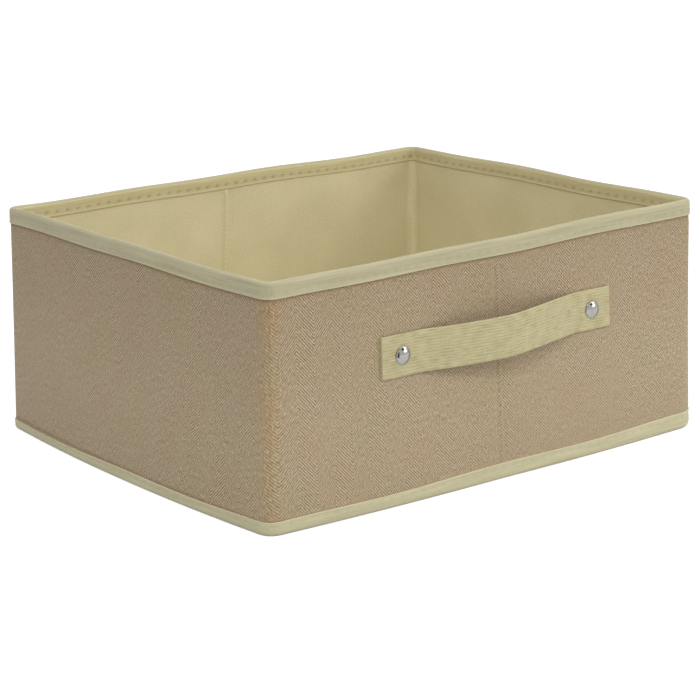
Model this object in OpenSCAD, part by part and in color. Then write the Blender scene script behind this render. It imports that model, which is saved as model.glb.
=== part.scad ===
// Collapsible fabric storage box: stiffened panels in a cloth cover, with a
// cloth hinge at each corner, a crease down the middle of the front and the
// back, a two-leaf floor, and a riveted webbing handle on the front.
// The origin is the centre of the base. +X runs along the front wall, -Y is
// the front, +Z is up.

/* [Box] */
// Width over the outer cloth, along the front wall
box_w = 365; // [280:5:600]
// Depth over the outer cloth, from front to back
box_d = 290; // [220:5:450]
// Height from the base to the rim
box_h = 155; // [120:5:320]
// Outer radius of the cloth round each upright corner
corner_r = 12; // [11:0.5:20]
// Half the width of the bare cloth strip at each crease
crease_half_w = 5.5; // [5:0.5:9]

/* [Layers] */
// Thickness of the stiffening board in each panel
board_t = 2.5; // [1.5:0.1:2.8]
// Thickness of the woven outer cover
cover_t = 0.5; // [0.3:0.1:0.8]
// Thickness of the smooth lining
lining_t = 0.5; // [0.3:0.1:0.8]

/* [Binding] */
// Thickness of the folded binding tape
tape_t = 0.6; // [0.4:0.1:0.9]
// Height of the tape on each face at the rim
rim_tape_h = 10.5; // [8:0.5:20]
// Height of the tape on each face at the base
base_tape_h = 8; // [6:0.5:15]

/* [Floor] */
// Bare cloth between a side wall's tape and the floor board
floor_end_gap = 4.4; // [4:0.1:8]
// Gap between the floor and the tape on the front or back wall
floor_edge_gap = 5; // [4.5:0.1:9]

/* [Handle] */
// Width of the webbing strap
strap_w = 27; // [20:1:45]
// Thickness of the webbing strap
strap_t = 1.6; // [1:0.1:2.4]
// Height of the strap's middle line above the base
strap_z = 97; // [60:1:120]
// Half the width of the stretch that stands off the wall
loop_half_w = 72; // [60:1:85]
// Length of the flat end of the strap on each side
tab_l = 26; // [24:1:34]
// How far the loop's middle stands off the wall
loop_bow = 12; // [9:0.5:20]
// Running gap between the loop and what it lies against
strap_clear = 0.3; // [0.2:0.1:0.6]

/* [Rivets] */
// Distance from the strap's end to the rivet
rivet_inset = 16.5; // [14:0.5:17]
// Radius of the domed cap
cap_r = 6; // [4:0.5:7]
// Height of the domed cap
cap_h = 2.6; // [1.6:0.1:3.5]
// Height of the straight edge under the dome
cap_edge_h = 0.6; // [0.3:0.1:1]
// Radius of the shank
shank_r = 1.6; // [1:0.1:2.2]
// Radial clearance round the shank
shank_clear = 0.1; // [0.05:0.05:0.3]
// Radius of the washer inside the box
washer_r = 5; // [4:0.5:8]
// Thickness of the washer inside the box
washer_t = 0.8; // [0.5:0.1:1.5]

/* [Hidden] */
$fn = 64;

// Colours
cover_colour = [0.68, 0.60, 0.50];
lining_colour = [0.80, 0.75, 0.58];
binding_colour = [0.78, 0.77, 0.66];
strap_colour = [0.80, 0.75, 0.60];
board_colour = [0.62, 0.60, 0.57];
rivet_colour = [0.80, 0.81, 0.83];

// Depths of the layers, counted inwards from the outer cloth of a wall
board_in = cover_t + board_t;
wall_t = board_in + lining_t;
// Heights between which the boards and cloths stand, inside the tape
wall_low = tape_t;
wall_high = box_h - tape_t;
// Ends of the panels, counted from the middle of each wall
front_end = box_w / 2 - corner_r;
side_end = box_d / 2 - corner_r;
// Faces of the floor, counted from the middle of the box
floor_half_d = box_d / 2 - wall_t - tape_t - floor_edge_gap;
floor_tape_x = box_w / 2 - wall_t - tape_t;
floor_end = floor_tape_x - floor_end_gap;
// Places along and across the strap
rivet_x = loop_half_w + tab_l - rivet_inset;
strap_low = strap_z - strap_w / 2;
loop_steps = 24;
// The loop leaves the wall quickly and is flatter in its middle
loop_fullness = 0.75;
// Two solids that are joined or cut share this much
overlap = 0.01;
shank_l = strap_t + wall_t + washer_t;

// ---- Places of the walls: x runs along a wall, y inwards from its outer cloth

module at_front() translate([0, -box_d / 2, 0]) children();

module at_back() mirror([0, 1, 0]) at_front() children();

module at_right() translate([box_w / 2, 0, 0]) rotate([0, 0, 90]) children();

module at_left() mirror([1, 0, 0]) at_right() children();

// The middle of the front left corner's round, then its mirrored copies
module at_front_left_corner() translate([-front_end, -side_end, 0]) rotate([0, 0, 180]) children();

module at_front_right_corner() mirror([1, 0, 0]) at_front_left_corner() children();

module at_back_left_corner() mirror([0, 1, 0]) at_front_left_corner() children();

module at_back_right_corner() mirror([0, 1, 0]) at_front_right_corner() children();

// ---- Shapes shared by the walls

// A flat layer of a wall between two depths
module wall_layer(from_x, to_x, from_depth, to_depth)
    translate([from_x, from_depth, wall_low])
        cube([to_x - from_x, to_depth - from_depth, wall_high - wall_low]);

// The same layer where it turns a corner
module corner_layer(from_depth, to_depth)
    rotate_extrude(angle = 90)
        translate([corner_r - to_depth, wall_low])
            square([to_depth - from_depth, wall_high - wall_low]);

// Outline of a tape folded over an edge: edge_z is the fold, turn is 1 where
// the tape hangs down from it and -1 where it stands up from it
function tape_outline(edge_z, tape_h, turn) = [
    [-tape_t, edge_z - turn * tape_h],
    [-tape_t, edge_z],
    [wall_t + tape_t, edge_z],
    [wall_t + tape_t, edge_z - turn * tape_h],
    [wall_t, edge_z - turn * tape_h],
    [wall_t, edge_z - turn * tape_t],
    [0, edge_z - turn * tape_t],
    [0, edge_z - turn * tape_h]
];

function turned_in(outline) = [for (p = outline) [corner_r - p[0], p[1]]];

rim_outline = tape_outline(box_h, rim_tape_h, 1);
base_outline = tape_outline(0, base_tape_h, -1);

// The rim and base tapes along a straight wall
module wall_tapes(from_x, to_x)
    for (outline = [rim_outline, base_outline])
        translate([from_x, 0, 0])
            rotate([90, 0, 90])
                linear_extrude(height = to_x - from_x)
                    polygon(outline);

// The rim and base tapes round a corner
module corner_tapes()
    for (outline = [rim_outline, base_outline])
        rotate_extrude(angle = 90)
            polygon(turned_in(outline));

// Hole for a rivet's shank through a front panel and the strap, side is -1 or 1
module shank_hole(side)
    translate([side * rivet_x, -strap_t - overlap, strap_z])
        rotate([-90, 0, 0])
            cylinder(r = shank_r + shank_clear, h = strap_t + wall_t + 2 * overlap);

module board(from_x, to_x) wall_layer(from_x, to_x, cover_t, board_in);

module cover(from_x, to_x) wall_layer(from_x, to_x, 0, cover_t);

module lining(from_x, to_x) wall_layer(from_x, to_x, board_in, wall_t);

// ---- Side walls

module left_board() color(board_colour) at_left() board(-side_end, side_end);

module left_cover() color(cover_colour) at_left() cover(-side_end, side_end);

module left_lining() color(lining_colour) at_left() lining(-side_end, side_end);

module left_binding() color(binding_colour) at_left() wall_tapes(-side_end, side_end);

module right_board() color(board_colour) at_right() board(-side_end, side_end);

module right_cover() color(cover_colour) at_right() cover(-side_end, side_end);

module right_lining() color(lining_colour) at_right() lining(-side_end, side_end);

module right_binding() color(binding_colour) at_right() wall_tapes(-side_end, side_end);

// ---- Front wall: two panels with a crease between them, drilled for the rivets

module front_left_board() color(board_colour) at_front() difference() {
    board(-front_end, -crease_half_w);
    shank_hole(-1);
}

module front_left_cover() color(cover_colour) at_front() difference() {
    cover(-front_end, -crease_half_w);
    shank_hole(-1);
}

module front_left_lining() color(lining_colour) at_front() difference() {
    lining(-front_end, -crease_half_w);
    shank_hole(-1);
}

module front_left_binding() color(binding_colour) at_front() wall_tapes(-front_end, -crease_half_w);

module front_right_board() color(board_colour) at_front() difference() {
    board(crease_half_w, front_end);
    shank_hole(1);
}

module front_right_cover() color(cover_colour) at_front() difference() {
    cover(crease_half_w, front_end);
    shank_hole(1);
}

module front_right_lining() color(lining_colour) at_front() difference() {
    lining(crease_half_w, front_end);
    shank_hole(1);
}

module front_right_binding() color(binding_colour) at_front() wall_tapes(crease_half_w, front_end);

// ---- Back wall: two panels with a crease between them

module back_left_board() color(board_colour) at_back() board(-front_end, -crease_half_w);

module back_left_cover() color(cover_colour) at_back() cover(-front_end, -crease_half_w);

module back_left_lining() color(lining_colour) at_back() lining(-front_end, -crease_half_w);

module back_left_binding() color(binding_colour) at_back() wall_tapes(-front_end, -crease_half_w);

module back_right_board() color(board_colour) at_back() board(crease_half_w, front_end);

module back_right_cover() color(cover_colour) at_back() cover(crease_half_w, front_end);

module back_right_lining() color(lining_colour) at_back() lining(crease_half_w, front_end);

module back_right_binding() color(binding_colour) at_back() wall_tapes(crease_half_w, front_end);

// ---- Cloth hinges at the four upright corners

module corner_cover() color(cover_colour) corner_layer(0, cover_t);

module corner_lining() color(lining_colour) corner_layer(board_in, wall_t);

module corner_binding() color(binding_colour) corner_tapes();

module front_left_corner_cover() at_front_left_corner() corner_cover();

module front_left_corner_lining() at_front_left_corner() corner_lining();

module front_left_corner_binding() at_front_left_corner() corner_binding();

module front_right_corner_cover() at_front_right_corner() corner_cover();

module front_right_corner_lining() at_front_right_corner() corner_lining();

module front_right_corner_binding() at_front_right_corner() corner_binding();

module back_left_corner_cover() at_back_left_corner() corner_cover();

module back_left_corner_lining() at_back_left_corner() corner_lining();

module back_left_corner_binding() at_back_left_corner() corner_binding();

module back_right_corner_cover() at_back_right_corner() corner_cover();

module back_right_corner_lining() at_back_right_corner() corner_lining();

module back_right_corner_binding() at_back_right_corner() corner_binding();

// ---- Cloth hinges at the creases of the front and back walls

module crease_cover() color(cover_colour) cover(-crease_half_w, crease_half_w);

module crease_lining() color(lining_colour) lining(-crease_half_w, crease_half_w);

module crease_binding() color(binding_colour) wall_tapes(-crease_half_w, crease_half_w);

module front_crease_cover() at_front() crease_cover();

module front_crease_lining() at_front() crease_lining();

module front_crease_binding() at_front() crease_binding();

module back_crease_cover() at_back() crease_cover();

module back_crease_lining() at_back() crease_lining();

module back_crease_binding() at_back() crease_binding();

// ---- Floor: two boards in a cloth sleeve, hung from the side walls' tape

// A layer of the floor between two heights
module floor_layer(from_x, to_x, half_d, from_z, to_z)
    translate([from_x, -half_d, from_z])
        cube([to_x - from_x, 2 * half_d, to_z - from_z]);

module floor_leaf(from_x, to_x, from_z, to_z) floor_layer(from_x, to_x, floor_half_d, from_z, to_z);

// The bare cloth that joins a leaf to a side wall's tape, clear of the corners
module floor_hinge(from_x, to_x) floor_layer(from_x, to_x, side_end, 0, cover_t);

module floor_left_board() color(board_colour) floor_leaf(-floor_end, -crease_half_w, cover_t, board_in);

module floor_left_cover() color(cover_colour) floor_leaf(-floor_end, -crease_half_w, 0, cover_t);

module floor_left_lining() color(lining_colour) floor_leaf(-floor_end, -crease_half_w, board_in, wall_t);

module floor_right_board() color(board_colour) floor_leaf(crease_half_w, floor_end, cover_t, board_in);

module floor_right_cover() color(cover_colour) floor_leaf(crease_half_w, floor_end, 0, cover_t);

module floor_right_lining() color(lining_colour) floor_leaf(crease_half_w, floor_end, board_in, wall_t);

module floor_left_hinge_cloth() color(cover_colour) floor_hinge(-floor_tape_x, -floor_end);

module floor_right_hinge_cloth() color(cover_colour) floor_hinge(floor_end, floor_tape_x);

module floor_crease_cloth() color(cover_colour) floor_leaf(-crease_half_w, crease_half_w, 0, cover_t);

// ---- Handle: a webbing strap, flat at both ends and bowed out between them

// How far the loop's inner face stands off the wall at a place along it
function loop_gap(x) =
    strap_clear + loop_bow * pow((1 + cos(180 * x / loop_half_w)) / 2, loop_fullness);

// The inner face from the tab to the middle, then the outer face back again
loop_places = [for (i = [0 : loop_steps]) (loop_half_w - strap_clear) * (i / loop_steps - 1)];
loop_outline = concat(
    [for (x = loop_places) [x, -loop_gap(x)]],
    [for (i = [loop_steps : -1 : 0]) [loop_places[i], -loop_gap(loop_places[i]) - strap_t]]
);

// The flat end of the strap under the left rivet
module strap_tab() difference() {
    translate([-loop_half_w - tab_l, -strap_t, strap_low])
        cube([tab_l, strap_t, strap_w]);
    shank_hole(-1);
}

// The left half of the bowed stretch
module strap_loop()
    translate([0, 0, strap_low])
        linear_extrude(height = strap_w)
            polygon(loop_outline);

module strap_left_tab() color(strap_colour) at_front() strap_tab();

module strap_left() color(strap_colour) at_front() strap_loop();

module strap_right() color(strap_colour) at_front() mirror([1, 0, 0]) strap_loop();

module strap_right_tab() color(strap_colour) at_front() mirror([1, 0, 0]) strap_tab();

// ---- Rivets through the strap's ends, with a washer inside the box

// Radius of the ball that the dome is a slice of
dome_h = cap_h - cap_edge_h;
dome_r = (pow(cap_r, 2) + pow(dome_h, 2)) / (2 * dome_h);

// The rivet stands on the strap along +Z, with its shank going down
module rivet() union() {
    cylinder(r = cap_r, h = cap_edge_h);
    intersection() {
        translate([0, 0, cap_h - dome_r]) sphere(r = dome_r);
        translate([0, 0, cap_edge_h]) cylinder(r = cap_r, h = dome_h);
    }
    translate([0, 0, -shank_l]) cylinder(r = shank_r, h = shank_l + overlap);
}

module washer() difference() {
    cylinder(r = washer_r, h = washer_t);
    translate([0, 0, -overlap]) cylinder(r = shank_r + shank_clear, h = washer_t + 2 * overlap);
}

// On the axis of a rivet at a depth into the front wall, side is -1 or 1
module on_rivet_axis(side, depth) translate([side * rivet_x, depth, strap_z]) rotate([90, 0, 0]) children();

module rivet_left() color(rivet_colour) at_front() on_rivet_axis(-1, -strap_t) rivet();

module rivet_right() color(rivet_colour) at_front() on_rivet_axis(1, -strap_t) rivet();

module washer_left() color(rivet_colour) at_front() on_rivet_axis(-1, wall_t + washer_t) washer();

module washer_right() color(rivet_colour) at_front() on_rivet_axis(1, wall_t + washer_t) washer();

left_board();
left_cover();
left_lining();
left_binding();
right_board();
right_cover();
right_lining();
right_binding();
front_left_board();
front_left_cover();
front_left_lining();
front_left_binding();
front_right_board();
front_right_cover();
front_right_lining();
front_right_binding();
back_left_board();
back_left_cover();
back_left_lining();
back_left_binding();
back_right_board();
back_right_cover();
back_right_lining();
back_right_binding();
front_left_corner_cover();
front_left_corner_lining();
front_left_corner_binding();
front_right_corner_cover();
front_right_corner_lining();
front_right_corner_binding();
back_left_corner_cover();
back_left_corner_lining();
back_left_corner_binding();
back_right_corner_cover();
back_right_corner_lining();
back_right_corner_binding();
front_crease_cover();
front_crease_lining();
front_crease_binding();
back_crease_cover();
back_crease_lining();
back_crease_binding();
floor_left_board();
floor_left_cover();
floor_left_lining();
floor_right_board();
floor_right_cover();
floor_right_lining();
floor_left_hinge_cloth();
floor_right_hinge_cloth();
floor_crease_cloth();
strap_left_tab();
strap_left();
strap_right();
strap_right_tab();
rivet_left();
rivet_right();
washer_left();
washer_right();
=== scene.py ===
"""A collapsible fabric storage box, dressed over its frame of boards, cloth hinges and handle."""

import math

import bpy
import numpy as np
from mathutils import Matrix, Vector


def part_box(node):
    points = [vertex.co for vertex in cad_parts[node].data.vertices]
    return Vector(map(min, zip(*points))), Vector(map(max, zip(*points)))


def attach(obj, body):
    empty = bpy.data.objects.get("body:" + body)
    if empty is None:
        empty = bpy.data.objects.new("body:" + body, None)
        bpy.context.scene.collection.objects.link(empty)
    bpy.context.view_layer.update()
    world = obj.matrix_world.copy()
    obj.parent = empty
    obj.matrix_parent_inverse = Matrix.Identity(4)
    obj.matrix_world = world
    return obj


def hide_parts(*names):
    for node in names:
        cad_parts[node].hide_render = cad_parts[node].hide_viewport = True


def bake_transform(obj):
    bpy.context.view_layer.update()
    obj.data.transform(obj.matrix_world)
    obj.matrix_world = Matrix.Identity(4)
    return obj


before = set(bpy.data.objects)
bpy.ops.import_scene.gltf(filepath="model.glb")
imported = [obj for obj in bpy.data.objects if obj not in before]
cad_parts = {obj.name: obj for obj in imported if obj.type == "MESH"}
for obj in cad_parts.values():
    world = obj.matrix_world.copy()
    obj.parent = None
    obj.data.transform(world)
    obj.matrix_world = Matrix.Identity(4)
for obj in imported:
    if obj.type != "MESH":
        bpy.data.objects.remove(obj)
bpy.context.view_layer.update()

# ---- Camera and light
# The camera stands to the front left of the box and a little above its rim, as in the photograph.
# A broad lamp on the right lights the front wall most, a smaller one higher up on the left throws
# the strap's shadow, one above lights the inside, and a pale sky fills in the rest.

camera_azimuth = math.radians(-39.53)
camera_elevation = math.radians(15.31)
# Distance to the middle of the base, the focal length in pixels of a 700 pixel image, and the
# place in that image where the middle of the base falls
camera_distance = 1.5707
image_px = 700
focal_px = 2259
base_middle_px = (350.5, 424.0)
sensor_w = 36
# The lamps aim at the middle of the box
aim_height = 0.08

back = Vector((math.sin(camera_azimuth) * math.cos(camera_elevation),
               -math.cos(camera_azimuth) * math.cos(camera_elevation),
               math.sin(camera_elevation)))
right = Vector((math.cos(camera_azimuth), math.sin(camera_azimuth), 0))
up = back.cross(right)
aside = (base_middle_px[0] - image_px / 2) / focal_px * camera_distance
above = (image_px / 2 - base_middle_px[1]) / focal_px * camera_distance
camera_data = bpy.data.cameras.new("camera")
camera_data.sensor_width = sensor_w
camera_data.lens = focal_px * sensor_w / image_px
camera_data.clip_end = 20
camera = bpy.data.objects.new("camera", camera_data)
camera.matrix_world = (Matrix.Translation(back * camera_distance - right * aside - up * above)
                       @ Matrix((right, up, back)).transposed().to_4x4())
bpy.context.scene.collection.objects.link(camera)
bpy.context.scene.camera = camera
bpy.context.scene.view_settings.view_transform = "Standard"


def soft_lamp(name, place, size, power, colour):
    """A square area lamp, its place and size in metres, turned to face the middle of the box."""
    data = bpy.data.lights.new(name, "AREA")
    data.size = size
    data.energy = power
    data.color = colour
    lamp = bpy.data.objects.new(name, data)
    aim = (Vector(place) - Vector((0, 0, aim_height))).to_track_quat("Z", "Y")
    lamp.matrix_world = Matrix.Translation(place) @ aim.to_matrix().to_4x4()
    lamp.visible_camera = False
    bpy.context.scene.collection.objects.link(lamp)


soft_lamp("key_lamp", (0.9, -1.0, 0.7), 0.8, 6.1, (1, 0.985, 0.96))
soft_lamp("fill_lamp", (-0.8, -1.05, 1.35), 0.35, 9.9, (1, 0.99, 0.97))
soft_lamp("top_lamp", (0.1, 0.1, 1.9), 1.2, 13, (1, 0.995, 0.98))


def plainly_seen(tree):
    """1 for a ray from the camera, off metal or through glass, and 0 for one that only lights: the
    three Light Path outputs added up and clamped."""
    rays = tree.nodes.new("ShaderNodeLightPath")
    seen = rays.outputs["Is Camera Ray"]
    for kind in ("Is Glossy Ray", "Is Transmission Ray"):
        both = tree.nodes.new("ShaderNodeMath")
        both.operation = "ADD"
        both.use_clamp = True
        tree.links.new(seen, both.inputs[0])
        tree.links.new(rays.outputs[kind], both.inputs[1])
        seen = both.outputs[0]
    return seen


# The sky lights the box from all round, and is plain white where the camera or metal sees it
world = bpy.data.worlds.new("studio")
bpy.context.scene.world = world
world.use_nodes = True
sky = world.node_tree
sky.nodes.clear()
plain_sky = sky.nodes.new("ShaderNodeBackground")
plain_sky.inputs["Color"].default_value = (0.95, 0.97, 1, 1)
plain_sky.inputs["Strength"].default_value = 0.57
white_sky = sky.nodes.new("ShaderNodeBackground")
white_sky.inputs["Color"].default_value = (1, 1, 1, 1)
sky_mix = sky.nodes.new("ShaderNodeMixShader")
sky_out = sky.nodes.new("ShaderNodeOutputWorld")
sky.links.new(plainly_seen(sky), sky_mix.inputs["Fac"])
sky.links.new(plain_sky.outputs[0], sky_mix.inputs[1])
sky.links.new(white_sky.outputs[0], sky_mix.inputs[2])
sky.links.new(sky_mix.outputs[0], sky_out.inputs["Surface"])

# ---- Boards
# Six grey-brown cardboard panels stiffen the walls, glued between the cover and the lining.
# They bow a little and stand slightly wider at the base, and all that covers them follows.

# All lengths are in metres, and this is a millimetre
MM = 0.001
half_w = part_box("right_cover")[1].x
half_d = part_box("back_left_cover")[1].y
box_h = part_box("left_binding")[1].z
corner_r = half_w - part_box("front_right_cover")[1].x
cover_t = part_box("left_cover")[1].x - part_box("left_cover")[0].x
board_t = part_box("left_board")[1].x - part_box("left_board")[0].x
wall_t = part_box("left_lining")[1].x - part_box("left_cover")[0].x
crease_half_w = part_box("front_crease_cover")[1].x
# Lengths along the outer cloth: half of the front's straight part and half of a side's, a corner,
# and half the way round. Then places along it: the end of the front right corner, and the middles
# of the open back right corner and of the front left corner
front_run = half_w - corner_r
side_run = half_d - corner_r
corner_run = math.pi / 2 * corner_r
half_loop = 2 * (front_run + side_run + corner_run)
corner_end = front_run + corner_run
open_corner = front_run + 1.5 * corner_run + 2 * side_run
near_corner = -front_run - corner_run / 2
# The corners are squarer than a round: 2 would be a circle, and higher is squarer
corner_power = 3.2
# At the base the walls flare, and puff out more in the middle of each. The front wall's right end
# is pushed out, while the right wall's front end, the left wall's middle and the left wall's rear
# end are drawn in. The rim is highest at the front right corner. Half way up, the walls bow
flare = 3.4 * MM
puff = 6.0 * MM
right_end_out = 6.0 * MM
right_side_in = 3.0 * MM
left_rear_in = 1.5 * MM
left_middle_in = 1.0 * MM
# The lean grows downwards as this power of the height, so that it is steepest near the base
lean_power = 1.3
rim_rise = 4.0 * MM
rim_wave = 0.8 * MM
bow = 0.7 * MM
# Either side of a crease the wall bends over this far, a little more than the CAD's bare cloth,
# and the boards keep this far off it
bend_half_w = 9 * MM
board_gap = bend_half_w + 3 * MM
# A board stops short of the wall's top and bottom, and leaves room for glue on each face
board_short = 1.2 * MM
glue_t = 0.15 * MM


def along_walls(run, depth):
    """Places round the walls from above: run metres right of the front crease, measured on the
    outer cloth, and depth metres inwards. Straight walls are joined by quarter rounds, made
    squarish by adding the powers of cosine and sine, about the same middle at every depth. The
    left half mirrors the right. Gives x and y."""
    run, depth = np.broadcast_arrays(run, depth)
    turned = (run + half_loop) % (2 * half_loop) - half_loop
    side = np.where(turned < 0, -1.0, 1.0)
    t = np.abs(turned)
    first = np.clip((t - front_run) / corner_r, 0, math.pi / 2)
    second = np.clip((t - front_run - corner_run - 2 * side_run) / corner_r, 0, math.pi / 2)
    front = np.minimum(t, front_run)
    wall = np.clip(t - front_run - corner_run, 0, 2 * side_run)
    rear = np.maximum(t - front_run - 2 * corner_run - 2 * side_run, 0)
    angle = first + second
    reach = corner_r - depth
    for arc in (first, second):
        across, along = np.abs(np.cos(arc)), np.abs(np.sin(arc))
        reach = reach + corner_r * ((across ** corner_power + along ** corner_power)
                                    ** (-1 / corner_power) - 1)
    x = front + reach * np.sin(angle) - rear
    y = -side_run + wall - reach * np.cos(angle)
    return side * x, y


def around(run, *places):
    """A value that changes evenly round the walls between places, each one a run and a value."""
    runs, values = zip(*places)
    return np.interp(run, runs, values, period=2 * half_loop)


def waves(run, *counts):
    """Slow waves round the box: the mean of sines that turn a whole number of times in one round,
    so that the two ends of the band meet."""
    return sum(np.sin(run * n * math.pi / half_loop + n) for n in counts) / len(counts)


def middle_of_wall(run):
    """1 in the middle of each wall and 0 at its ends, falling as the square of the distance."""
    t = np.abs((run + half_loop) % (2 * half_loop) - half_loop)
    from_front, from_rear = t / front_run, (half_loop - t) / front_run
    from_side = np.abs(t - corner_end - side_run) / side_run
    return np.clip(1 - np.minimum(np.minimum(from_front, from_side), from_rear) ** 2, 0, 1)


def wall_lean(run, z):
    """How far a wall stands out: the flare, the puff and the pushed and drawn places, which fade
    out upwards as a power of the height left to the rim, and slow waves half way up."""
    low = np.clip(1 - z / box_h, 0, 1)
    belly = np.sin(math.pi * np.clip(z / box_h, 0, 1))
    pushed = around(run, (-corner_end, 0), (0, 0), (front_run, right_end_out),
                    (corner_end, -right_side_in), (corner_end + side_run, 0),
                    (half_loop, 0), (-open_corner, -left_rear_in),
                    (-corner_end - side_run, -left_middle_in))
    foot = flare + puff * middle_of_wall(run) + pushed
    return foot * low ** lean_power + bow * belly * waves(run, 6, 14)


def rim_lift(run, z):
    """How far the wall rises towards the front right corner, evenly with height, and how far the
    rim waves, which fades out downwards as the square of the height."""
    rise = around(run, (near_corner, 0), (-near_corner, rim_rise), (open_corner, 0))
    return rise * z / box_h + rim_wave * (z / box_h) ** 2 * waves(run, 5, 10)


def on_wall(run, z, depth):
    """Points on a leaning wall, as an array of x, y and z over the grids run, z and depth."""
    run, z, depth = np.broadcast_arrays(run, z, depth)
    x, y = along_walls(run, depth - wall_lean(run, z))
    return np.stack([x, y, z + rim_lift(run, z)], axis=-1)


def add_mesh(name, points, faces):
    """An object in the scene, with a mesh of these places and faces."""
    mesh = bpy.data.meshes.new(name)
    mesh.from_pydata(points, [], faces)
    piece = bpy.data.objects.new(name, mesh)
    bpy.context.scene.collection.objects.link(piece)
    return piece


def make_surface(name, points, across, along, closed=False, inwards=False, marks=None):
    """A mesh over a grid of points. across and along are the cloth's own lengths in the grid's two
    directions and go to the UV map. closed joins the last column to the first, inwards turns the
    faces round, and marks are numbers on the points, which the materials read by name."""
    rows, columns = points.shape[:2]
    index = np.arange(rows * columns).reshape(rows, columns)
    after = np.roll(index, -1, axis=1) if closed else index[:, 1:]
    before = index if closed else index[:, :-1]
    faces = np.stack([before[:-1], after[:-1], after[1:], before[1:]], axis=-1).reshape(-1, 4)
    if inwards:
        faces = faces[:, ::-1]
    piece = add_mesh(name, points.reshape(-1, 3), faces)
    mesh = piece.data
    uv = np.stack(np.broadcast_arrays(across, along), axis=-1).reshape(-1, 2)
    corners = np.empty(len(mesh.loops), dtype=np.int64)
    mesh.loops.foreach_get("vertex_index", corners)
    layer = mesh.uv_layers.new(name="cloth")
    layer.data.foreach_set("uv", uv[corners].astype(np.float32).ravel())
    for mark, values in (marks or {}).items():
        attribute = mesh.attributes.new(mark, "FLOAT", "POINT")
        values = np.broadcast_to(values, points.shape[:2])
        attribute.data.foreach_set("value", values.astype(np.float32).ravel())
    mesh.polygons.foreach_set("use_smooth", np.ones(len(mesh.polygons), dtype=bool))
    mesh.update()
    return piece


def linear(red, green, blue):
    """A colour as it shows on screen, 0 to 255, as linear light by the sRGB curve."""
    screen = np.array([red, green, blue]) / 255
    light = np.where(screen <= 0.04045, screen / 12.92, ((screen + 0.055) / 1.055) ** 2.4)
    return (*light, 1)


class Finish:
    """A procedural material under construction: short calls add its nodes and link them."""

    def __init__(self, name, roughness, sheen=0.0):
        self.material = bpy.data.materials.new(name)
        self.material.use_nodes = True
        self.nodes = self.material.node_tree.nodes
        self.links = self.material.node_tree.links
        self.shader = self.nodes["Principled BSDF"]
        self.shader.inputs["Roughness"].default_value = roughness
        self.shader.inputs["Sheen Weight"].default_value = sheen
        self.shader.inputs["Specular IOR Level"].default_value = 0.25

    def put(self, kind, **values):
        """A node of a kind, with its properties and its sockets' values set by name."""
        node = self.nodes.new("ShaderNode" + kind)
        for key, value in values.items():
            if hasattr(node, key):
                setattr(node, key, value)
            else:
                node.inputs[key.replace("_", " ")].default_value = value
        return node

    def feed(self, node, *pairs):
        """Gives a node's sockets, by their place in its list, a number, a colour or a link."""
        for place, term in pairs:
            if isinstance(term, (int, float, tuple)):
                node.inputs[place].default_value = term
            else:
                self.links.new(term, node.inputs[place])

    def sum_of(self, operation, *terms, clamp=False):
        """A Math node over numbers or other nodes' outputs."""
        node = self.put("Math", operation=operation, use_clamp=clamp)
        self.feed(node, *enumerate(terms))
        return node.outputs[0]

    def weighted(self, *pairs):
        """The sum of terms, each times its share, and both may be numbers or outputs."""
        total = 0.0
        for term, share in pairs:
            total = self.sum_of("MULTIPLY_ADD", term, share, total)
        return total

    def cloth_lengths(self):
        """The cloth's own lengths in metres, across and along, from the UV map."""
        split = self.put("SeparateXYZ")
        self.links.new(self.put("UVMap", uv_map="cloth").outputs[0], split.inputs[0])
        return split.outputs["X"], split.outputs["Y"]

    def mark(self, name):
        """A number that the mesh carries on its points, by its name."""
        return self.put("Attribute", attribute_name=name).outputs["Fac"]

    def speckle(self, vector, scale, detail=2.0):
        """Noise from 0 to 1 on a vector, or on the object's own place where vector is None."""
        noise = self.put("TexNoise", Scale=scale, Detail=detail)
        if vector is None:
            vector = self.put("TexCoord").outputs["Object"]
        self.links.new(vector, noise.inputs["Vector"])
        return noise.outputs["Fac"]

    def vector(self, x, y):
        """Two numbers or outputs joined into a vector."""
        node = self.put("CombineXYZ")
        self.feed(node, (0, x), (1, y))
        return node.outputs[0]

    def streaks(self, across, along, detail):
        """Noise with its own scale each way. across and along are each a length and a scale."""
        return self.speckle(self.vector(self.sum_of("MULTIPLY", *across),
                                        self.sum_of("MULTIPLY", *along)), 1, detail)

    def shades(self, amount, *stops):
        """A colour ramp: each stop is a place from 0 to 1 and a screen colour."""
        ramp = self.put("ValToRGB")
        band = ramp.color_ramp
        while len(band.elements) < len(stops):
            band.elements.new(0.5)
        for element, (place, colour) in zip(band.elements, stops):
            element.position = place
            element.color = linear(*colour)
        self.links.new(amount, ramp.inputs["Fac"])
        return ramp.outputs["Color"]

    def mixed(self, amount, first, second, how="MIX"):
        """Two colours mixed by an amount, or with MULTIPLY the first dyed by the second."""
        node = self.put("Mix", data_type="RGBA", blend_type=how)
        self.feed(node, (0, amount), (6, first), (7, second))
        return node.outputs[2]

    def finished(self, colour, height, depth):
        """The material, with its colour, and a bump of a depth in metres."""
        self.links.new(colour, self.shader.inputs["Base Color"])
        bump = self.put("Bump", Distance=depth, Strength=1.0)
        self.links.new(height, bump.inputs["Height"])
        self.links.new(bump.outputs[0], self.shader.inputs["Normal"])
        return self.material


def cardboard():
    """Grey-brown board, flecked by fine noise."""
    finish = Finish("cardboard", roughness=0.85)
    flecks = finish.speckle(None, 900, detail=4)
    colour = finish.shades(flecks, (0.3, (128, 118, 104)), (0.7, (158, 149, 134)))
    return finish.finished(colour, flecks, 0.05 * MM)


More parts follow.
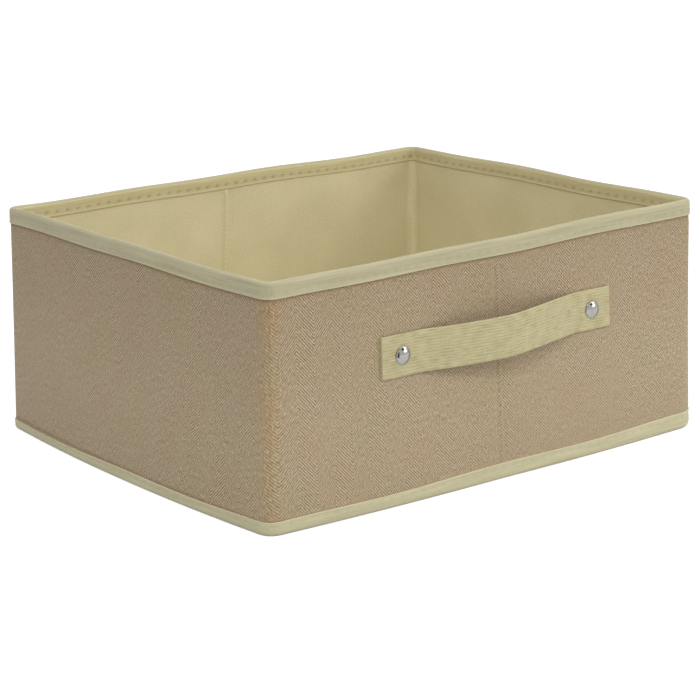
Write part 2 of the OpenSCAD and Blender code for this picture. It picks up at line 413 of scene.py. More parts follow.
def wall_board(wall, body, start, end):
    """A wall's board: its section, up the outer face and down the inner one, carried along the
    wall, and a flat face on each end."""
    name = "board_" + wall
    run = np.linspace(start, end, 40)[:, None]
    rise = np.linspace(board_short, box_h - board_short, 24)
    z = np.concatenate([rise, rise[::-1]])[None, :]
    depth = np.repeat([cover_t + glue_t, cover_t + board_t - glue_t], rise.size)[None, :]
    points = on_wall(run, z, depth)
    piece = make_surface(name, points, run, z, closed=True)
    section = np.arange(z.size)
    ends = add_mesh(name + "_ends", points[[0, -1]].reshape(-1, 3),
                    [section[::-1].tolist(), (section + z.size).tolist()])
    for part in (piece, ends):
        part.data.materials.append(board_finish)
        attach(part, body)
    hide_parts(wall + "_board")


board_finish = cardboard()
for wall, body, start, end in (
        ("front_right", "front_right", board_gap, front_run),
        ("front_left", "front_left", -front_run, -board_gap),
        ("right", "right_side", corner_end, corner_end + 2 * side_run),
        ("left", "left_side", -corner_end - 2 * side_run, -corner_end),
        ("back_right", "back_right", -half_loop - front_run, -half_loop - board_gap),
        ("back_left", "back_left", -half_loop + board_gap, -half_loop + front_run)):
    wall_board(wall, body, start, end)

# ---- Outer cover
# One band of tan herringbone cloth is glued round the boards and bends at the corners and the
# creases. Here it is cut into lengths half way between one hinge and the next, with one more cut
# at the middle of the back right corner, where the model's frame is open.

# The heights of the two tapes, and how far inside their folds the cloth ends
rim_tape_h = 10.5 * MM
base_tape_h = 8 * MM
cloth_short = 1.5 * MM
# The herringbone: a slant's width and steepness, and the pitch of its lines and warp threads
slant_w = 13.5 * MM
twill_rise = 1.05
twill_pitch = 2.15 * MM
warp_pitch = 0.8 * MM
# The rim tape's seam draws the cloth below it into puckers
pucker_pitch = 8.5 * MM

# Each length of a band: its ends along the walls, and the bodies that it joins
lengths = {
    "back_right": (open_corner - 2 * half_loop, -half_loop - front_run / 2, ("back_right",)),
    "back_crease": (-half_loop - front_run / 2, -half_loop + front_run / 2,
                    ("back_right", "back_left")),
    "back_left_corner": (-half_loop + front_run / 2, -corner_end - side_run,
                         ("back_left", "left_side")),
    "front_left_corner": (-corner_end - side_run, -front_run / 2, ("left_side", "front_left")),
    "front_crease": (-front_run / 2, front_run / 2, ("front_left", "front_right")),
    "front_right_corner": (front_run / 2, open_corner, ("front_right", "right_side")),
}
# The walls and hinges that a length hides; each has a CAD node of its own in every layer
hidden_under = {
    "back_right": ("back_right",),
    "back_crease": ("back_crease",),
    "back_left_corner": ("back_left_corner", "back_left"),
    "front_left_corner": ("front_left_corner", "left"),
    "front_crease": ("front_crease", "front_left", "front_right"),
    "front_right_corner": ("front_right_corner", "right", "back_right_corner"),
}


def gap_to(run, place):
    """The distance along the walls to a place, the shorter way round."""
    gap = (run - place + half_loop) % (2 * half_loop) - half_loop
    return np.abs(gap)


def bell(distance, width):
    """A bump that falls off as the exponential of the distance squared: 1 in the middle, about a
    third at one width."""
    return np.exp(-(distance / width) ** 2)


def runs_of(start, end, step, fine_places, fine_step=0.5 * MM, reach=9 * MM):
    """Places from start to end, a step apart, and closer together near the fine places."""
    coarse = np.linspace(start, end, max(3, int(round((end - start) / step))))
    near = [np.arange(p - reach, p + reach, fine_step) for p in fine_places]
    extra = [n[(n > start + fine_step) & (n < end - fine_step)] for n in near]
    return np.unique(np.round(np.concatenate([coarse, *extra]), 6))


creases = (0.0, -half_loop, half_loop)
corner_middles = (near_corner, -near_corner, open_corner, open_corner - 2 * half_loop)


def dress_length(piece, name, finish, layer=None):
    """Gives a length of a band its material, and takes the place of the CAD nodes of a layer that
    it lies over. It rides on its one body, or where it joins two, it stays where it was built."""
    start, end, bodies = lengths[name]
    piece.data.materials.append(finish)
    if len(bodies) == 1:
        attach(piece, bodies[0])
    else:
        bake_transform(piece)
    if layer:
        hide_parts(*(wall + "_" + layer for wall in hidden_under[name]))


def cover_relief(run, z):
    """How far the cover lies in or out of the wall's face: a narrow ridge at each crease between
    two soft grooves, two sewn ridges down each corner, and a sine of faint puckers below the rim
    tape. All of it fades out before the tapes."""
    relief = np.zeros(np.broadcast(run, z).shape)
    for place in (0.0, -half_loop):
        gap = gap_to(run, place)
        relief += 0.55 * MM * bell(gap, 0.9 * MM) - 0.5 * MM * bell(gap - 2.6 * MM, 1.3 * MM)
    for place in corner_middles[:3]:
        relief += 0.4 * MM * bell(gap_to(run, place) - 1.6 * MM, 0.9 * MM)
    between_tapes = np.clip(np.minimum(box_h - 12 * MM - z, z - 10 * MM) / (4 * MM), 0, 1)
    puckers = np.sin(run * 2 * math.pi / pucker_pitch) * bell(box_h - 13 * MM - z, 3 * MM)
    return (relief + 0.10 * MM * puckers) * between_tapes


def herringbone():
    """Tan herringbone: slanting twill lines whose slant turns over at even steps across the cloth.
    The height along the cloth is shifted by a zigzag of the place across, and its sine makes the
    lines. Warp threads, slubs and slow blotches break them up. The cloth is warmer on the corners.
    Painted shade makes it greyer and darker high up, and a painted shadow darkens it beside the
    tapes."""
    finish = Finish("herringbone_cloth", roughness=0.9, sheen=0.12)
    across, along = finish.cloth_lengths()
    place = finish.vector(across, along)
    wander = finish.sum_of("SUBTRACT", finish.speckle(place, 60, detail=1), 0.5)
    zigzag = finish.sum_of("PINGPONG", across, slant_w)
    shifted = finish.weighted((zigzag, twill_rise), (along, 1), (wander, 1.1 * MM))
    turns = finish.sum_of("MULTIPLY", shifted, 2 * math.pi / twill_pitch)
    lines = finish.sum_of("MULTIPLY_ADD", finish.sum_of("SINE", turns), 0.5, 0.5)
    lines = finish.sum_of("POWER", lines, 1.3)
    warp = finish.sum_of("SINE", finish.sum_of("MULTIPLY", across, 2 * math.pi / warp_pitch))
    warp = finish.sum_of("MULTIPLY_ADD", warp, 0.5, 0.5)
    slubs = finish.speckle(finish.vector(across, finish.sum_of("MULTIPLY", along, 0.45)), 900)
    blotches = finish.speckle(place, 28, detail=3)
    floats = finish.speckle(place, 420)
    floats = finish.sum_of("MULTIPLY_ADD", floats, 3.0, -0.95, clamp=True)
    strength = finish.sum_of("MULTIPLY_ADD", blotches, 1.5, 0.05)
    strength = finish.sum_of("MULTIPLY", strength, floats)
    corner = finish.mark("corner")
    strength = finish.sum_of("MULTIPLY", strength,
                             finish.sum_of("MULTIPLY_ADD", corner, -0.6, 1.0))
    lines_in = finish.sum_of("MULTIPLY", finish.sum_of("SUBTRACT", lines, 0.5), strength)
    slubs_in = finish.sum_of("SUBTRACT", slubs, 0.5)
    mix = finish.weighted((lines_in, 1), (slubs_in, 0.9), (warp, 0.06), (0.5, 1))
    colour = finish.shades(mix, (0.0, (106, 89, 68)), (0.5, (163, 145, 118)),
                           (1.0, (206, 192, 166)))
    tints = finish.shades(finish.speckle(finish.vector(along, across), 24, detail=3),
                          (0.3, (255, 244, 238)), (0.5, (255, 253, 250)), (0.7, (249, 250, 234)))
    colour = finish.mixed(0.6, colour, tints, how="MULTIPLY")
    # Painted shade: the cloth darkens and greys towards the top
    painted_top_shade = finish.sum_of("MULTIPLY_ADD", along, 9, -0.55, clamp=True)
    for amount, dye in ((finish.sum_of("MULTIPLY", painted_top_shade, 0.75), (230, 224, 220)),
                        (finish.sum_of("MULTIPLY", corner, 0.5), (255, 243, 206)),
                        # A painted shadow darkens the cloth just beside the tapes
                        (finish.mark("painted_tape_shadow"), (226, 218, 208))):
        colour = finish.mixed(amount, colour, linear(*dye), how="MULTIPLY")
    height = finish.weighted((lines, floats), (slubs, 0.8))
    return finish.finished(colour, height, 0.13 * MM)


herringbone_finish = herringbone()
z_cover = np.concatenate([np.linspace(cloth_short, 14 * MM, 14),
                          np.linspace(17 * MM, box_h - 22 * MM, 44),
                          np.linspace(box_h - 20 * MM, box_h - cloth_short, 22)])[None, :]
for name, (start, end, _) in lengths.items():
    run = runs_of(start, end, 3 * MM, creases + corner_middles)[:, None]
    points = on_wall(run, z_cover, -cover_relief(run, z_cover))
    corner_mark = sum(bell(gap_to(run, p), 6 * MM) for p in corner_middles[:3])
    corner_mark = corner_mark * (0.75 + 0.25 * np.sin(z_cover * 90 + 1.5))
    # The cloth is marked for a painted shadow just below the rim tape and just above the base tape
    below_rim = box_h - rim_tape_h - z_cover
    above_base = z_cover - base_tape_h
    painted_tape_shadow = bell(np.minimum(np.abs(below_rim), np.abs(above_base) * 1.6), 1.7 * MM)
    cover = make_surface("cover_" + name, points, run, z_cover, inwards=True,
                         marks={"corner": corner_mark, "painted_tape_shadow": painted_tape_shadow})
    dress_length(cover, name, herringbone_finish, "cover")

# ---- Lining
# Smooth cream non-woven cloth is glued inside the boards. Where it runs over a crease or a corner
# it is sewn in a soft ridge, with the board's edges showing as shallow steps beside it.

seam_pitch = 3.6 * MM


def lining_relief(run, z):
    """How far the lining stands into the box: a soft ridge on each crease and in each corner, the
    step down to the bare cloth beside it, and slow bubbles between board and cloth. All of it
    fades out before the tapes, which press the lining flat."""
    relief = np.zeros(np.broadcast(run, z).shape)
    for place in (0.0, -half_loop):
        gap = gap_to(run, place)
        relief += 1.5 * MM * bell(gap, 1.2 * MM) - 0.5 * MM * bell(gap - 4.5 * MM, 2.2 * MM)
    for place in corner_middles[:3]:
        gap = gap_to(run, place)
        relief += 0.7 * MM * bell(gap, 1.3 * MM) - 0.3 * MM * bell(gap - 4 * MM, 2 * MM)
    bubbles = np.sin(run * 90 + 3 * np.sin(z * 40)) * np.sin(z * 75 + 2 * np.sin(run * 33))
    between_tapes = np.clip(np.minimum(box_h - rim_tape_h - z, z - base_tape_h) / (3 * MM), 0, 1)
    return (relief + 0.10 * MM * bubbles) * between_tapes


def seam_thread(run, z):
    """Where the pale thread of a seam shows: stitches one above the other as a raised cosine of
    the height, on each crease and more faintly in each corner, and below the rim tape."""
    stitches = 0.55 + 0.45 * np.cos(z * 2 * math.pi / seam_pitch)
    on_creases = sum(bell(gap_to(run, place), 0.8 * MM) for place in (0.0, -half_loop))
    in_corners = sum(bell(gap_to(run, place), 0.8 * MM) for place in corner_middles[:3])
    below_rim = np.clip((box_h - rim_tape_h - MM - z) / MM, 0, 1)
    return (on_creases + 0.5 * in_corners) * stitches * below_rim


def non_woven():
    """Cream non-woven cloth: matted fibres, cloudy patches and a faint pressed texture, with the
    pale thread of the seams."""
    finish = Finish("lining_cloth", roughness=0.8, sheen=0.08)
    across, along = finish.cloth_lengths()
    place = finish.vector(across, along)
    fibres = finish.speckle(place, 750, detail=5)
    clouds = finish.speckle(place, 22, detail=3)
    amount = finish.weighted((fibres, 0.6), (clouds, 0.4))
    colour = finish.shades(amount, (0.3, (196, 186, 149)), (0.5, (208, 198, 162)),
                           (0.7, (219, 209, 174)))
    colour = finish.mixed(finish.sum_of("MULTIPLY", finish.mark("seam"), 0.7), colour,
                          linear(228, 219, 186))
    return finish.finished(colour, fibres, 0.05 * MM)


lining_finish = non_woven()
z_lining = np.linspace(cloth_short, box_h - cloth_short, 170)[None, :]
for name, (start, end, _) in lengths.items():
    run = runs_of(start, end, 3.5 * MM, creases + corner_middles)[:, None]
    points = on_wall(run, z_lining, wall_t + lining_relief(run, z_lining))
    lining = make_surface("lining_" + name, points, run, z_lining,
                          marks={"seam": seam_thread(run, z_lining)})
    dress_length(lining, name, lining_finish, "lining")

# ---- Binding
# A pale woven tape is folded over the rim, and another under the base, and sewn through the wall.
# Its edges stand a little off the cloth, and the stitches pull it in at even steps.

tape_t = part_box("left_cover")[0].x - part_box("left_binding")[0].x
# A whole number of stitches goes round the box
stitch_pitch = 2 * half_loop / 152
# The tape's fold rounds over this height. Its stitches run at this share of the way from its edge
# to the fold. They pull it in by the first depth, and between them it puffs out by the second
fold = 2.8 * MM
stitch_line = 0.42
stitch_pull = 0.42 * MM
stitch_puff = 0.10 * MM


def tape_section(tape_h):
    """The section of a tape of a height, as depth, share of the leg from its edge (or -1 on the
    fold), distance from the fold and length along the tape. It goes from the outer edge, over the
    fold, to the inner edge: two straight legs with half an ellipse between them, and each edge
    turned in to the wall."""
    leg = np.array([0, 0.02, 0.06, 0.14, 0.3, 0.45, 0.6, 0.72, 0.82, 0.9])
    turn = np.linspace(0, math.pi, 13)
    reach = wall_t / 2 + tape_t
    depth_out = np.full(leg.size, -tape_t)
    depth_out[0] = 0.1 * MM
    depth_turn = wall_t / 2 - reach * np.cos(turn)
    depth_in = np.full(leg.size, wall_t + tape_t)
    depth_in[0] = wall_t - 0.1 * MM
    depth = np.concatenate([depth_out, depth_turn, depth_in[::-1]])
    share = np.concatenate([leg, np.full(turn.size, -1.0), leg[::-1]])
    leg_below = (1 - leg) * (tape_h - fold) + fold
    below = np.concatenate([leg_below, fold * (1 - np.sin(turn)), leg_below[::-1]])
    lengthwise = np.concatenate([[0], np.cumsum(np.hypot(np.diff(depth), np.diff(below)))])
    return depth[None, :], share[None, :], below[None, :], lengthwise[None, :]


def stitch_beat(run):
    """1 at each stitch and 0 half way between two, as a raised cosine."""
    return 0.5 + 0.5 * np.cos(run * 2 * math.pi / stitch_pitch)


def stitch_dents(run, share):
    """How far the stitches pull the tape in: dents at even steps along a line on each leg, with
    the tape puffed between them, and slow waves along it."""
    line = bell(share - stitch_line, 0.22)
    dents = (stitch_pull * stitch_beat(run) ** 3 - stitch_puff) * line
    return dents + 0.036 * MM * waves(run, 12, 19)


def corner_rucks(run, share):
    """How far the tape is rucked where it is eased round a corner: crossing sines of several
    lengths, which fade out away from the corner."""
    gap = np.minimum.reduce([gap_to(run, place) for place in corner_middles[:3]])
    uneven = np.sin(run * 1630 + 4 * share) + np.sin(run * 2470 - 6 * share + 1)
    uneven = uneven * (0.6 + 0.4 * np.sin(run * 410 + 9 * share)) + 0.7 * np.sin(run * 930)
    return 0.16 * MM * bell(gap, 6 * MM) * uneven


def tape_cloth(name, shade):
    """Pale ribbed tape of a shade: noise drawn out along its length gives fine grain lines and
    slower bands of wear. It is yellower inside the box, paler at its edge as a painted highlight,
    and brown at the stitches."""
    finish = Finish(name, roughness=0.7, sheen=0.1)
    across, along = finish.cloth_lengths()
    grain = finish.streaks((across, 28), (along, 900), detail=3)
    bands = finish.streaks((across, 9), (along, 260), detail=2)
    amount = finish.weighted((grain, 0.6), (bands, 0.4))
    dark = tuple(c - 13 for c in shade)
    pale = tuple(c + 11 for c in shade)
    colour = finish.shades(amount, (0.3, dark), (0.5, shade), (0.68, pale))
    yellow = finish.shades(amount, (0.3, (190, 176, 131)), (0.7, (209, 198, 154)))
    # A painted highlight along the tape's edge
    hem_highlight_colour = linear(*(c + 26 for c in shade))
    thread_colour = linear(112, 98, 60)
    for mark, most, tint in (("inner", 0.75, yellow), ("hem", 0.45, hem_highlight_colour),
                             ("dent", 0.65, thread_colour)):
        colour = finish.mixed(finish.sum_of("MULTIPLY", finish.mark(mark), most), colour, tint)
    return finish.finished(colour, grain, 0.12 * MM)


rim_finish = tape_cloth("rim_tape", (172, 165, 134))
base_finish = tape_cloth("base_tape", (190, 183, 150))


def base_height(run):
    """How much of the base tape shows outside. It is sewn on by eye: it widens to the right along
    the front, and thins along the left wall, where it is drawn under."""
    share = around(run, (near_corner, 1.05), (0, 1.25), (front_run, 1.35), (open_corner, 1.1),
                   (-open_corner, 0.72))
    return base_tape_h * (share + 0.06 * waves(run, 8))


for name, (start, end, _) in lengths.items():
    run = runs_of(start, end, 2.1 * MM, corner_middles, 0.5 * MM, 14 * MM)[:, None]
    for edge, tape_h, finish in (("rim", rim_tape_h, rim_finish),
                                 ("base", base_tape_h, base_finish)):
        depth, share, below, lengthwise = tape_section(tape_h)
        on_leg = share >= 0
        outside = depth < wall_t / 2
        bead = -0.3 * MM * bell(share - 0.05, 0.05)
        pulled = (stitch_dents(run, share) + corner_rucks(run, share)) * on_leg + bead
        if edge == "rim":
            z = box_h - below
        else:
            z = below * np.where(outside, base_height(run) / base_tape_h, 1)
        points = on_wall(run, z, depth + pulled * np.where(outside, 1, -1))
        stitch_mark = bell(share - stitch_line, 0.10) * stitch_beat(run) ** 4
        # The hem mark paints a highlight along the tape's edge
        tape = make_surface(edge + "_tape_" + name, points, run, lengthwise,
                            inwards=edge == "base",
                            marks={"inner": depth > wall_t,
                                   "dent": stitch_mark * np.where(outside, 0.25, 1),
                                   "hem": bell(share - 0.05, 0.06) * on_leg})
        dress_length(tape, name, finish,
                     "binding" if edge == "rim" else None)

# ---- Floor
# Two cardboard boards lie in a sleeve, lining above and cover cloth below. The sleeve is sewn to
# the side walls and creased in its middle. Its front and back edges are free, so it can drop.

floor_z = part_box("floor_left_lining")[1].z
floor_tape_x = -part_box("floor_left_hinge_cloth")[0].x
# The sleeve is tucked this far into the tape at the foot of the walls
floor_tuck = 0.6 * MM
# Its upper sheet sinks over these lengths near the front and back and near the sides, and dips in
# the crease by this depth and over this width
sink_run = 8 * MM
side_sink_run = 5 * MM
crease_dip = 1.3 * MM
crease_dip_w = 3 * MM


def floor_edges(x):
    """The y of the floor's front and back edge at x: each lies against the inside of the walls at
    the base, followed from the middle of the left wall to the middle of the right one."""
    edges = []
    side_middle = corner_end + side_run
    for middle, reach in ((0, side_middle), (half_loop, half_loop - side_middle)):
        run = middle + np.linspace(-reach, reach, 1200)
        wall_x, wall_y = along_walls(run, wall_t + tape_t - floor_tuck - wall_lean(run, MM))
        order = np.argsort(wall_x)
        edges.append(np.interp(x, wall_x[order], wall_y[order]))
    return edges


def floor_sheet(name, start, end, z, finish, bodies, nodes_hidden, up):
    """A sheet of the sleeve at a height, from start to end across the box and from wall to wall.
    The upper one dips in the crease as a bump turned over, and near the walls it sinks to the
    lower one as a smooth step, where the two are sewn together."""
    x = runs_of(start, end, 4 * MM, (0.0, -floor_tape_x, floor_tape_x), 1 * MM, 10 * MM)[:, None]
    front, rear = floor_edges(x)
    share = np.sin(np.linspace(-math.pi / 2, math.pi / 2, 80))[None, :]
    y = (front + rear) / 2 + (rear - front) / 2 * share
    inside = np.minimum(np.minimum(y - front, rear - y) / sink_run,
                        (floor_half_w - np.abs(x)) / side_sink_run)
    inside = np.clip(inside, 0, 1)
    sunk = 1 - inside ** 2 * (3 - 2 * inside)
    slow = np.sin(x * 37 + 1) * np.sin(y * 29 + 2) * 0.25 * MM
    dip = np.maximum(sunk * (z - 0.7 * MM), crease_dip * bell(x, crease_dip_w))
    height = z - dip + slow * (1 - sunk) if up else z
    points = np.stack(np.broadcast_arrays(x, y, height), -1)
    piece = make_surface(name, points, x, y, inwards=not up)
    piece.data.materials.append(finish)
    if len(bodies) == 1:
        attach(piece, bodies[0])
    else:
        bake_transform(piece)
    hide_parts(*nodes_hidden)


leaf_end = -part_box("floor_left_board")[0].x
leaf_middle = half_w / 2
# Half the width of the floor, which just reaches into the tapes at the foot of the side walls
floor_half_w = half_w + flare + puff - wall_t - tape_t + 0.5 * MM
# The right edge is cut off as a hem that stays with the wall, because the frame is open there
hem_start = floor_tape_x - 1.5 * MM
for layer, z, finish, up in (("lining", floor_z, lining_finish, True),
                             ("cover", 0.1 * MM, herringbone_finish, False)):
    leaves = ["floor_left_" + layer, "floor_right_" + layer]
    left_strip, crease_strip, right_strip = (
        [[], [], []] if up else
        [["floor_left_hinge_cloth"], ["floor_crease_cloth"], ["floor_right_hinge_cloth"]])
    for name, start, end, bodies, hinge, nodes_hidden in (
            ("left", -floor_half_w, -leaf_middle, ("left_side", "floor_left"),
             (-floor_tape_x, -leaf_end), left_strip),
            ("crease", -leaf_middle, leaf_middle, ("floor_left", "floor_right"),
             (-crease_half_w, crease_half_w), leaves + crease_strip),
            ("right", leaf_middle, hem_start, ("floor_right",), None, right_strip),
            ("hem", hem_start, floor_half_w, ("right_side",), None, [])):
        floor_sheet("floor_%s_%s" % (layer, name), start, end, z, finish,
                    bodies, nodes_hidden, up)
for node in ("floor_left_board", "floor_right_board"):
    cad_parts[node].data.materials.clear()
    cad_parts[node].data.materials.append(board_finish)

# ---- Handle
# A ribbed cotton webbing strap lies flat under a rivet at each end and bows out between them.
# Its ends are cut square, and the weave's ribs run along its length.

strap_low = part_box("strap_left_tab")[0].z
strap_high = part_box("strap_left_tab")[1].z
strap_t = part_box("strap_left_tab")[1].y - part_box("strap_left_tab")[0].y
strap_half_l = -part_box("strap_left_tab")[0].x
loop_half_w = -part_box("strap_left_tab")[1].x
loop_out = -half_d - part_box("strap_left")[0].y
rib_pitch = 1.9 * MM
rib_h = 0.05 * MM
pick_pitch = 1.3 * MM
# It was riveted a little askew, so that it rises by this share of each length to the right
askew = 0.017
# It waves up and down by this much, and the peak of its bow is rounded over this length
sag = 0.5 * MM
peak_r = 5 * MM
# Its bow is this share of wave, and the rest is two slopes
wave_share = 0.4
# The strap keeps this much clear of the cover, and the CAD's loop of what it lies against
strap_gap = 0.1 * MM
loop_clear = 0.3 * MM


def strap_stand(x):
    """How far the strap's middle layer stands off the wall: flat at the ends, and between them the
    mix of a raised cosine to a power below one, which leaves the wall quickly, and of two straight
    slopes that meet in a rounded peak."""
    wave = (1 + np.cos(np.clip(np.abs(x) / loop_half_w, 0, 1) * math.pi)) / 2
    peak = 1 - (np.sqrt(x ** 2 + peak_r ** 2) - peak_r) / loop_half_w
    slopes = np.clip(peak, 0, 1) * (1 - (1 - wave) ** 9)
    bowed = wave_share * wave ** 0.75 + (1 - wave_share) * slopes
    return strap_t / 2 + strap_gap + (loop_out - strap_t - loop_clear) * bowed


def strap_piece(name, start, end, cut_at=None):
    """A stretch of strap: its section is a flat bar with soft edges and a row of cosine ribs,
    carried along the bowed line, with its thickness kept square to that line. Where a square cut
    ends the strap, a flat face closes it, and rides on the front wall on that side."""
    x = runs_of(start, end, 1.5 * MM, (-loop_half_w, loop_half_w), 0.7 * MM)[:, None]
    share = np.linspace(-1, 1, 97)
    bar = share * (strap_high - strap_low) / 2
    edge = np.sqrt(np.clip(1 - np.abs(share) ** 22, 0, 1)) * strap_t / 2
    ribs = rib_h * np.cos(bar / rib_pitch * 2 * math.pi) * (1 - np.abs(share) ** 12)
    up_side = np.concatenate([bar, bar[::-1][1:-1]])[None, :]
    out_side = np.concatenate([edge + ribs, (-(edge + ribs * 0.5))[::-1][1:-1]])[None, :]
    middle = strap_stand(x)
    slope = np.gradient(middle[:, 0], x[:, 0])[:, None]
    size = np.sqrt(1 + slope ** 2)
    px = x - out_side * slope / size
    pz = (strap_low + strap_high) / 2 + up_side + askew * x + sag * np.sin(x * 40)
    py = -half_d - wall_lean(x, pz) - middle - out_side / size
    points = np.stack([px, py, pz], axis=-1)
    piece = make_surface(name, points, x, up_side, closed=True)
    piece.data.materials.append(webbing_finish)
    if cut_at:
        ring = np.arange(up_side.size)
        face = ring if cut_at == "right" else ring[::-1]
        cut = add_mesh(name + "_cut", points[-1 if cut_at == "right" else 0], [face.tolist()])
        cut.data.materials.append(webbing_finish)
        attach(cut, "front_" + cut_at)
    return piece


def webbing():
    """Cream cotton webbing: cosine ribs along its length, crossed by the sine of finer picks, with
    noise drawn out along it for the yarn and slower noise for wear."""
    finish = Finish("webbing", roughness=0.85, sheen=0.15)
    across, along = finish.cloth_lengths()
    ribs = finish.sum_of("COSINE", finish.sum_of("MULTIPLY", along, 2 * math.pi / rib_pitch))
    picks = finish.sum_of("SINE", finish.sum_of("MULTIPLY", across, 2 * math.pi / pick_pitch))
    yarn = finish.streaks((across, 130), (along, 1400), detail=3)
    stains = finish.speckle(finish.vector(across, along), 110, detail=3)
    amount = finish.weighted((ribs, 0.06), (picks, 0.02), (yarn, 0.6), (stains, 0.3))
    colour = finish.shades(amount, (0.18, (143, 132, 92)), (0.45, (178, 169, 130)),
                           (0.74, (200, 191, 154)))
    height = finish.weighted((picks, 0.25), (yarn, 1))
    return finish.finished(colour, height, 0.12 * MM)


webbing_finish = webbing()
quarter = loop_half_w / 2
strap = strap_piece("strap_left_end", -strap_half_l, -quarter, cut_at="left")
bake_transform(strap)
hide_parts("strap_left_tab")
strap = strap_piece("strap_middle", -quarter, quarter)
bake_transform(strap)
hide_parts("strap_left")
strap = strap_piece("strap_right_loop", quarter, loop_half_w)
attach(strap, "handle_right")
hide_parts("strap_right")
strap = strap_piece("strap_right_end", loop_half_w, strap_half_l, cut_at="right")
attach(strap, "front_right")
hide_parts("strap_right_tab")

# ---- Rivets
# Two domed steel caps are pressed through the strap and the front wall, and each is closed by a
# washer inside. They are plated bright, with painted shade in the groove inside the cap's rolled
# edge.

cap_r = (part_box("rivet_left")[1].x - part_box("rivet_left")[0].x) / 2
cap_out = -half_d - strap_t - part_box("rivet_left")[0].y
rivet_z = (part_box("rivet_left")[1].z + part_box("rivet_left")[0].z) / 2
shank_r = 1.6 * MM
# The groove between the dome and the rolled edge: its floor's height, and its place on the cap
groove_h = 0.72 * MM
groove_at = 0.92


def turned_piece(name, radius, reach, x, y, z, sign):
    """A profile of radii and reaches turned round the rivet's axis, which is square to the wall
    and passes through x, y and z. sign is -1 where it grows out of the box, and 1 into it."""
    angle = np.linspace(0, 2 * math.pi, 64, endpoint=False)[None, :]
    radius, reach = np.array(radius)[:, None], np.array(reach)[:, None]
    points = np.stack(np.broadcast_arrays(
        x + radius * np.cos(angle), y + sign * reach, z + radius * np.sin(angle)), -1)
    # Where shade is painted in the groove inside the cap's rolled edge
    groove_painted_shade = bell(radius - groove_at * cap_r, 0.025 * cap_r) * (reach > 0.6 * MM)
    return make_surface(name, points, angle, reach, closed=True, inwards=sign > 0,
                        marks={"groove_painted_shade": groove_painted_shade})


def plated_steel():
    """Bright plating with fine scuffs from noise, and painted shade in the groove."""
    finish = Finish("bright_plating", roughness=0.13)
    finish.shader.inputs["Metallic"].default_value = 1.0
    scuffs = finish.speckle(None, 1500, detail=4)
    colour = finish.shades(scuffs, (0.3, (146, 145, 141)), (0.7, (174, 173, 168)))
    colour = finish.mixed(finish.mark("groove_painted_shade"), colour, linear(52, 50, 46))
    return finish.finished(colour, scuffs, 0.002 * MM)


plating_finish = plated_steel()
for side in ("left", "right"):
    low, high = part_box("rivet_" + side)
    x = (low.x + high.x) / 2
    z = rivet_z + askew * x
    front = -half_d - float(wall_lean(x, z)) - float(strap_stand(x)) - strap_t / 2
    # The dome is a slice of a ball: its radius follows from the slice's width and height
    dome_r, dome_h = cap_r * 0.88, cap_out - groove_h
    ball_r = (dome_r ** 2 + dome_h ** 2) / (2 * dome_h)
    sweep = np.linspace(math.asin(dome_r / ball_r), 0, 14)
    radius = np.concatenate([[shank_r, cap_r * 0.93, cap_r, cap_r, cap_r * 0.955, cap_r * 0.90],
                             ball_r * np.sin(sweep)])
    reach = np.concatenate([[-0.4 * MM, -0.4 * MM, 0.2 * MM, 0.55 * MM, 0.8 * MM, groove_h],
                            cap_out - ball_r * (1 - np.cos(sweep))])
    cap = turned_piece("rivet_cap_" + side, radius, reach, x, front, z, -1)
    cap.data.materials.append(plating_finish)
    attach(cap, "front_" + side)
    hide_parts("rivet_" + side)
    inside = -half_d + wall_t - float(wall_lean(x, z))
    washer_r = (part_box("washer_" + side)[1].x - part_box("washer_" + side)[0].x) / 2
    radius = [washer_r * 0.9, washer_r, washer_r, washer_r * 0.8, shank_r * 1.2, shank_r * 0.8, 0]
    reach = [-0.4 * MM, -0.3 * MM, 0.6 * MM, 0.9 * MM, 0.8 * MM, 1.2 * MM, 1.2 * MM]
    washer = turned_piece("washer_inside_" + side, radius, reach, x, inside, z, 1)
    washer.data.materials.append(plating_finish)
    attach(washer, "front_" + side)
    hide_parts("washer_" + side)

# ---- Ground
# Plain white paper, which meets the white sky where the camera or the metal sees it, and keeps
# the box's shadow. Two dark cards show only in the rivets, as the dim parts of a studio do.

ground_half = 6
ground = add_mesh("ground", [(-ground_half, -ground_half, 0), (ground_half, -ground_half, 0),
                             (ground_half, ground_half, 0), (-ground_half, ground_half, 0)],
                  [(0, 1, 2, 3)])
paper = bpy.data.materials.new("white_paper")
paper.use_nodes = True
sheet = paper.node_tree
paper_shader = sheet.nodes["Principled BSDF"]
paper_shader.inputs["Base Color"].default_value = (0.8, 0.8, 0.79, 1)
paper_shader.inputs["Roughness"].default_value = 0.9
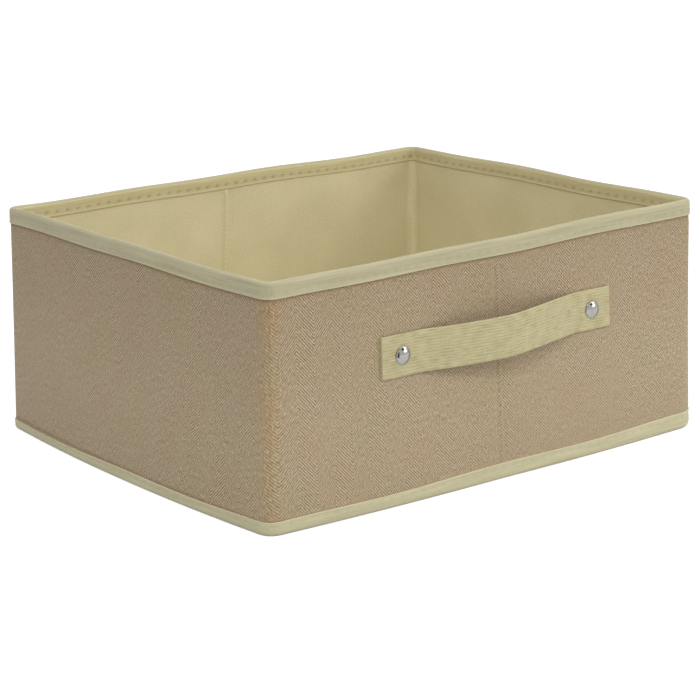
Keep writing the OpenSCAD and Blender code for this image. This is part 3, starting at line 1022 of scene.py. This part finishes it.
# Where it is seen plainly, the paper glows as white as the sky, less what the box shades of it
paper_shade = sheet.nodes.new("ShaderNodeAmbientOcclusion")
paper_shade.samples = 6
paper_shade.inputs["Distance"].default_value = 0.25
paper_span = sheet.nodes.new("ShaderNodeMapRange")
paper_span.inputs["From Min"].default_value = 0.04
paper_span.inputs["From Max"].default_value = 0.42
paper_span.inputs["To Max"].default_value = 0.8
paper_glow = sheet.nodes.new("ShaderNodeEmission")
paper_dim = sheet.nodes.new("ShaderNodeBsdfDiffuse")
paper_dim.inputs["Color"].default_value = (0.4, 0.4, 0.4, 1)
paper_white = sheet.nodes.new("ShaderNodeAddShader")
paper_mix = sheet.nodes.new("ShaderNodeMixShader")
sheet.links.new(paper_shade.outputs["AO"], paper_span.inputs["Value"])
sheet.links.new(paper_span.outputs["Result"], paper_glow.inputs["Strength"])
sheet.links.new(paper_glow.outputs[0], paper_white.inputs[0])
sheet.links.new(paper_dim.outputs[0], paper_white.inputs[1])
sheet.links.new(plainly_seen(sheet), paper_mix.inputs["Fac"])
sheet.links.new(paper_shader.outputs[0], paper_mix.inputs[1])
sheet.links.new(paper_white.outputs[0], paper_mix.inputs[2])
sheet.links.new(paper_mix.outputs[0], sheet.nodes["Material Output"].inputs["Surface"])
ground.data.materials.append(paper)

card_paint = bpy.data.materials.new("dark_card")
card_paint.use_nodes = True
card_shader = card_paint.node_tree.nodes["Principled BSDF"]
card_shader.inputs["Base Color"].default_value = (0.01, 0.01, 0.01, 1)
for name, card_corners in (
        ("dark_card_left", [(-0.3, -0.15, 0.01), (-0.15, -0.36, 0.01), (-0.33, -1.03, 1.03),
                            (-1.0, -0.15, 1.03)]),
        ("dark_card_above", [(0.25, -1.3, 0.72), (0.79, -1.04, 0.72), (0.63, -0.72, 0.96),
                             (0.09, -0.98, 0.96)])):
    card = add_mesh(name, card_corners, [(0, 1, 2, 3)])
    card.data.materials.append(card_paint)
    card.visible_camera = False
    card.visible_diffuse = False
    card.visible_shadow = False
